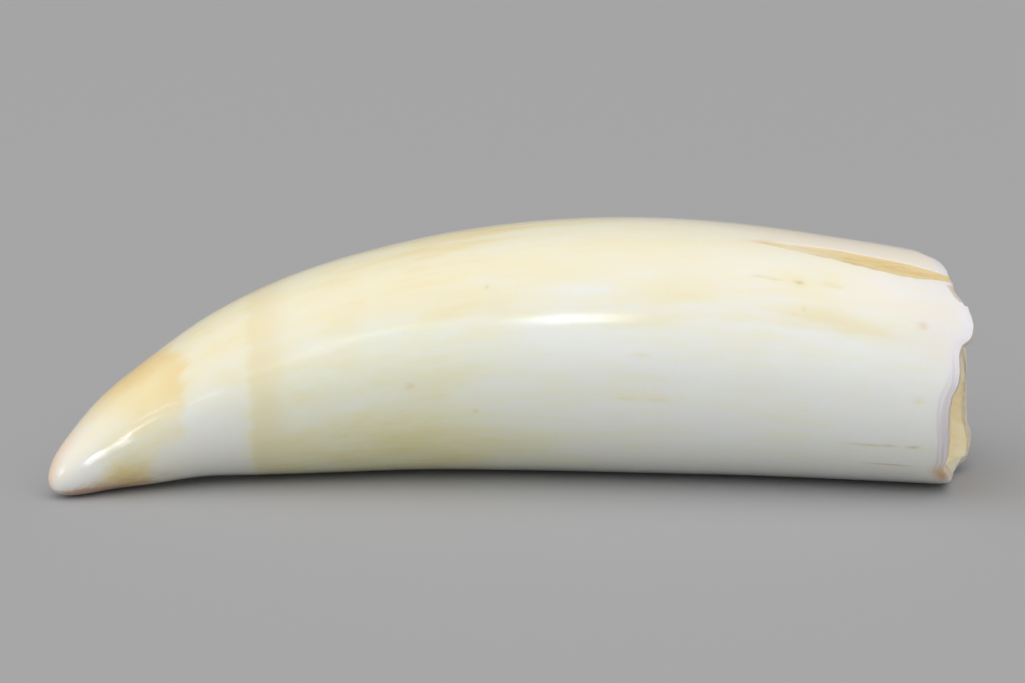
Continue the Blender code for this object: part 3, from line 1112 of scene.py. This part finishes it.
# Partly a stain and partly painted shade, at the lower corner by the rim.
STAIN_AND_SHADE = colour(222, 176, 96)
CRUMB_WHITE = colour(244, 240, 230)
CHIP_CREAM = colour(232, 218, 200)
CHIP_BROWN = colour(168, 132, 108)
RIDGE_ANGLE = (61.0, 11.0)
RIDGE_ALONG = (122.0, 138.0)
GREY_FROM_RIM = (18.0, 2.0)
GREY_SIDE = (45.0, 80.0)
LIP_FROM_RIM = (3.6, 1.0)
LIP_LAYERS_SIDE = (112.0, 135.0)
LAYERS_GAP = 0.7
LAYERS_LENGTH = 16.0
FURROW_DEEPENS = (136.0, 150.0)
STAIN_AND_SHADE_ANGLE = (197.0, 9.0)
STAIN_AND_SHADE_FROM_RIM = (3.2, 0.9)
CRUMBLED_ANGLE = (208.0, 10.0)
CRUMBLED_FROM_RIM = (0.9, 0.4)

skin_from_rim = read_attribute(skin, "from rim")
skin_furrow = read_attribute(skin, "furrow")
skin_chip = read_attribute(skin, "chip")
fibres = use_group(grain_group, skin_place, Length=8.0, Width=0.35, Seed=3.0)

ridge = hump(skin_angle, *RIDGE_ANGLE) * ease(skin_along, *RIDGE_ALONG)
ivory.coat(RIDGE_WHITE, ridge * (0.4 + 0.4 * fibres))
rim_grey = ease(skin_from_rim, *GREY_FROM_RIM) * ease(bottom_up, *GREY_SIDE) * (1.0 - ridge)
ivory.coat(RIM_GREY, rim_grey * 0.4)
lip = ease(skin_from_rim, *LIP_FROM_RIM)
ivory.coat(LILAC_WHITE, lip * 0.75)
layer_place = join(
    skin_from_rim / LAYERS_GAP, skin_bend / LAYERS_LENGTH, skin_side / LAYERS_LENGTH
)
lip_layers_seen = ease(noise(layer_place, detail=1.0), 0.48, 0.64)
lip_side = ease(skin_angle, *LIP_LAYERS_SIDE)
ivory.coat(LILAC_GREY, lip * lip_layers_seen * lip_side * 0.6)
furrow_deepens = blend(0.5, 1.0, ease(skin_along, *FURROW_DEEPENS))
furrow_tan = ease(skin_furrow, 0.01, 0.22) * (0.75 + 0.4 * fibres) * furrow_deepens
ivory.coat(TAN, between(furrow_tan, 0.0, 1.0))
in_furrow = ease(skin_furrow, 0.1, 0.6) * furrow_deepens
ivory.coat(ORANGE_TAN, ease(bands, 0.4, 0.85) * in_furrow * 0.6)
ivory.coat(BROWN_TAN, ease(fibres, 0.52, 0.68) * in_furrow * 0.55)
# Orange-brown at the lower corner by the rim: partly a stain and partly painted shade.
corner_stain_and_shade = hump(skin_angle, *STAIN_AND_SHADE_ANGLE) * ease(skin_from_rim, *STAIN_AND_SHADE_FROM_RIM)
ivory.coat(STAIN_AND_SHADE, corner_stain_and_shade * 0.85)
crumbled_edge = hump(skin_angle, *CRUMBLED_ANGLE) * ease(skin_from_rim, *CRUMBLED_FROM_RIM)
ivory.coat(CRUMB_WHITE, crumbled_edge * 0.9)
chipped = ease(skin_chip, 0.0, 0.2)
ivory.coat(CHIP_CREAM, chipped * 0.85)
chip_edge = hump(skin_chip, 0.02, 0.05) * chipped
ivory.coat(CHIP_BROWN, chip_edge * 0.5)

# %% [markdown]
# ## Polished ivory: shine
# Polish leaves a low roughness, lowest at the tip, where hands wore it smooth, with hairline scratches
# along the tooth. The furrow and the chip are dull, and the lip and the ridge a little less shiny than
# the rest. Under the polish light goes a short way into the ivory, so the shader scatters it there. A
# clear coat over a matt colour would shine too, but it would look like varnish.

# %% Shine
POLISH = 0.055
POLISH_VARIES = 0.04
DULL = 0.6
LIP_DULL = 0.3
RIDGE_DULL = 0.25
TIP_SMOOTHER = 0.6
TIP_SMOOTH_TO = (18.0, 40.0)
SCRATCH_DEPTH = 0.006
FIBRE_DEPTH = 0.12
BAND_DEPTH = 0.01
SKIN_GLOW = 0.25
SKIN_REACH = (1.0, 0.6, 0.3)

scratches = use_group(grain_group, skin_place, Length=20.0, Width=0.12, Seed=11.0)
dull = calculate("MAXIMUM", ease(skin_furrow, 0.05, 0.4), lip * LIP_DULL)
dull = calculate("MAXIMUM", dull, ridge * RIDGE_DULL)
dull = calculate("MAXIMUM", dull, chipped)
worn_smooth = blend(TIP_SMOOTHER, 1.0, ease(skin_along, *TIP_SMOOTH_TO))
polish = (POLISH + POLISH_VARIES * (threads * 0.5 + clouds * 0.5)) * worn_smooth
furrow_fibres = fibres * ease(skin_furrow, 0.1, 0.6)
height = scratches * SCRATCH_DEPTH + furrow_fibres * FIBRE_DEPTH + bands * BAND_DEPTH
finish_surface(ivory, blend(polish, DULL, dull), height, SKIN_GLOW, SKIN_REACH)
print("polished ivory uses", len(skin.nodes), "nodes")

# %% [markdown]
# ## Bare dentine
# On the break the layers show: a thin white skin, then cream, then tan towards the cavity, which gets
# browner where the light hardly reaches, with lengthwise grain. Rings of growth run round the break,
# one side of it is paler, and at the lower corner it has crumbled to pale grains. The tree stored how
# far in each point is, 0 to 1 over the break and 1 to 2 down the cavity. A Color Ramp reads it, and
# the rest is coats of paint.

# %% Dentine
PALE_SIDE = (332.0, 22.0)
PALE_SIDE_IN = (0.8, 1.0)
CRUMBLED_SIDE = (236.0, 30.0)
CRUMBLED_IN = (1.1, 0.96)
RINGS_ACROSS = 7.0
RINGS_IN = (0.95, 0.65)
GRAIN_DEPTH = 0.12
STREAK_DEPTH = 0.06
RING_DEPTH = 0.1
CORE_ROUGHNESS = 0.5
GRAIN_ROUGHER = 0.25
CORE_GLOW = 0.7
CORE_REACH = (1.0, 0.75, 0.5)

bare.use_nodes = True
core = bare.node_tree
core_place = read_attribute(core, "straight", vector=True)
way_in = read_attribute(core, "way in")
core_streaks = use_group(streaks_group, core_place, Length=14.0, Width=1.4, Seed=2.0, Contrast=1.0)
core_grain = use_group(grain_group, core_place, Length=2.5, Width=0.5, Seed=6.0)

DENTINE_STOPS = (
    (0.0, colour(244, 241, 234)),
    (0.2, colour(244, 238, 222)),
    (0.46, colour(244, 236, 212)),
    (0.54, colour(241, 222, 168)),
    (0.7, colour(232, 204, 144)),
    (1.0, colour(186, 146, 94)),
)
GRAIN_BROWN = colour(200, 158, 100)
PALE_CREAM = colour(248, 244, 232)
CRUMB_CREAM = colour(247, 240, 218)
RING_TAN = colour(222, 200, 168)

depth_in = way_in * 0.5 + (core_streaks - 0.5) * 0.07
dentine = Paint(ramp(between(depth_in, 0.0, 1.0), DENTINE_STOPS))
dentine.coat(GRAIN_BROWN, ease(core_grain, 0.58, 0.75) * 0.3)

core_bend, core_side = split(core_place)[1:]
core_angle = angle_round(core_bend, core_side)
dentine.coat(PALE_CREAM, hump(core_angle, *PALE_SIDE) * ease(way_in, *PALE_SIDE_IN))
crumbled = hump(core_angle, *CRUMBLED_SIDE) * ease(way_in, *CRUMBLED_IN)
crumbs = blend(0.5, 1.0, ease(core_grain, 0.4, 0.6))
dentine.coat(CRUMB_CREAM, crumbled * crumbs)

ring_place = join(way_in * RINGS_ACROSS, core_bend / LAYERS_LENGTH, core_side / LAYERS_LENGTH)
rings = ease(noise(ring_place, detail=1.0), 0.48, 0.62) * ease(way_in, *RINGS_IN)
dentine.coat(RING_TAN, rings * 0.4)
core_height = core_grain * GRAIN_DEPTH + core_streaks * STREAK_DEPTH + rings * RING_DEPTH
core_roughness = CORE_ROUGHNESS + GRAIN_ROUGHER * core_grain
finish_surface(dentine, core_roughness, core_height, CORE_GLOW, CORE_REACH)
print("bare dentine uses", len(core.nodes), "nodes")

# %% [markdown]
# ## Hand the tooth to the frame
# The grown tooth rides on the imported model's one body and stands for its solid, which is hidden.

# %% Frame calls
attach(tooth, "root")
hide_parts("tooth")

# %% [markdown]
# ## A pale studio
# A large matt floor reaches past the picture on every side, so it is also the background. A backdrop
# that curves up behind the tooth would do as well, but from this height the floor alone fills the view.

# %% Floor
FLOOR_HALF = 6.0
FLOOR_GREY = (0.42, 0.42, 0.43, 1.0)
FLOOR_ROUGHNESS = 0.9
FLOOR_GLOSS = 0.1

floor_corners = [
    (x * FLOOR_HALF, y * FLOOR_HALF, 0.0) for x, y in ((-1, -1), (1, -1), (1, 1), (-1, 1))
]
floor_mesh = bpy.data.meshes.new("floor")
floor_mesh.from_pydata(floor_corners, [], [(0, 1, 2, 3)])
floor = bpy.data.objects.new("floor", floor_mesh)
bpy.context.scene.collection.objects.link(floor)
floor_paint = bpy.data.materials.new("pale floor")
floor_paint.use_nodes = True
floor_shader = floor_paint.node_tree.nodes["Principled BSDF"]
floor_shader.inputs["Base Color"].default_value = FLOOR_GREY
floor_shader.inputs["Roughness"].default_value = FLOOR_ROUGHNESS
floor_shader.inputs["Specular IOR Level"].default_value = FLOOR_GLOSS
floor_mesh.materials.append(floor_paint)
floor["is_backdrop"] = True

# %% [markdown]
# ## Light from all round
# Most of the light is soft and comes from the world: a dim glow from everywhere, a strong one from above
# in front, and weaker ones from the left and the right, which shade the tooth's ends. Large area lights
# would shade it alike, but their square edges would show in the polish, and a glow has none.

# %% Light from all round
WORLD_AMBIENT = 0.28
WORLD_COLOUR = (1.0, 0.99, 0.98, 1.0)
# Strength and direction of each glow, and the values of facing() where it starts and is full.
WORLD_GLOWS = (
    (1.09, (-0.08, -0.42, 0.9), (0.3, 1.0)),
    (0.38, (-0.82, -0.58, 0.0), (0.3, 1.0)),
    (0.2, (0.93, -0.25, 0.25), (0.5, 1.0)),
)

world = bpy.data.worlds.new("studio")
world.use_nodes = True
bpy.context.scene.world = world
sky = world.node_tree
direction = Wire(sky, place_node(sky, "ShaderNodeTexCoord").outputs["Generated"])


def facing(aim):
    """1 where the sky lies in this direction, falling to -1 on the far side."""
    toward = [part * share for part, share in zip(split(direction), aim)]
    return toward[0] + toward[1] + toward[2]


brightness = WORLD_AMBIENT
for strength, aim, reach in WORLD_GLOWS:
    brightness = brightness + strength * ease(facing(Vector(aim).normalized()), *reach)
sky.links.new(brightness.socket, sky.nodes["Background"].inputs["Strength"])
sky.nodes["Background"].inputs["Color"].default_value = WORLD_COLOUR

# %% [markdown]
# ## Strip lights
# The sharp highlights are mirror images of lamps, so each lamp is a slim strip, placed where the polish
# mirrors it to the eye. An upright one gives the bright spot on the flank and a slimmer one the faint
# arc beside it. A bent chain of four gives the line along the tip, and a small one the spot below it.
# Moving a lamp and looking again would find such places slowly. Following the line of sight to the
# tooth and on, as off a mirror, finds them at once. The tip's lamps are close, so they only mirror and
# don't light the tooth.


# %% Strip lights
def bearing(place, azimuth, elevation, away):
    """The point this far from a place, in a direction given in degrees from the camera's side."""
    side, up = azimuth * DEGREE, elevation * DEGREE
    toward = Vector((math.sin(side) * math.cos(up), -math.cos(side) * math.cos(up), math.sin(up)))
    return Vector(place) + toward * away


def add_strip(name, start, end, width, radiance, faces):
    """A strip light from start to end that faces a point, all in metres."""
    lamp = bpy.data.lights.new(name, "AREA")
    lamp.color = DAYLIGHT
    lamp.shape = "RECTANGLE"
    lamp.size = (end - start).length
    lamp.size_y = width
    lamp.energy = radiance * math.pi * lamp.size * lamp.size_y
    strip = bpy.data.objects.new(name, lamp)
    middle = (start + end) / 2.0
    long_way = (end - start).normalized()
    back = middle - Vector(faces)
    back = (back - long_way * back.dot(long_way)).normalized()
    strip.matrix_world = Matrix((long_way, back.cross(long_way), back)).transposed().to_4x4()
    strip.location = middle
    strip.visible_camera = False
    bpy.context.scene.collection.objects.link(strip)
    return strip


DAYLIGHT = (0.88, 0.94, 1.0)
FLANK = (0.0, -0.016, 0.03)
TIP = (-0.07, -0.02, 0.011)
FLANK_AWAY = 1.0
# Name, azimuth and elevation of both ends, width and radiance.
FLANK_STRIPS = (
    ("bright strip", (-10.1, 46.0), (-9.3, 39.4), 0.036, 13.0),
    ("faint strip", (-21.4, 32.8), (-20.6, 47.0), 0.012, 9.0),
)
for name, start, end, width, radiance in FLANK_STRIPS:
    ends = bearing(FLANK, *start, FLANK_AWAY), bearing(FLANK, *end, FLANK_AWAY)
    add_strip(name, *ends, width, radiance, FLANK)

# Points in mm, and the radiance of the strip from each to the next.
TIP_STRIP_PATH = (
    (-72.8, -80.7, 13.4),
    (-73.2, -79.7, 18.6),
    (-80.4, -77.2, 26.2),
    (-77.6, -72.2, 39.0),
    (-72.0, -70.6, 43.0),
)
TIP_STRIP_RADIANCES = (7.0, 13.0, 20.0, 7.0)
TIP_STRIP_WIDTH = 0.0018
TIP_SPOT_LOW = Vector((-117.0, -64.0, 23.5)) * MM
TIP_SPOT_HIGH = Vector((-127.0, -48.0, 32.5)) * MM
TIP_SPOT_WIDTH = 0.012
TIP_SPOT_RADIANCE = 3.4
tip_spot = add_strip(
    "tip spot", TIP_SPOT_LOW, TIP_SPOT_HIGH, TIP_SPOT_WIDTH, TIP_SPOT_RADIANCE, TIP
)
tip_lights = [tip_spot]
path_parts = zip(TIP_STRIP_PATH, TIP_STRIP_PATH[1:], TIP_STRIP_RADIANCES)
for number, (start, end, radiance) in enumerate(path_parts, 1):
    ends = Vector(start) * MM, Vector(end) * MM
    tip_lights.append(add_strip(f"tip strip {number}", *ends, TIP_STRIP_WIDTH, radiance, TIP))
for light in tip_lights:
    light.visible_diffuse = False

bpy.context.scene.view_settings.view_transform = "Standard"
print("the studio has", len(bpy.data.lights), "strip lights")

# %% [markdown]
# ## The finished size
# The grown tooth has to fit the imported one, so its size is printed.

# %% Sizes and finish
visual_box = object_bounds()
finished = [round(side / MM, 1) for side in visual_box[1] - visual_box[0]]
print("the finished tooth measures", finished, "mm")
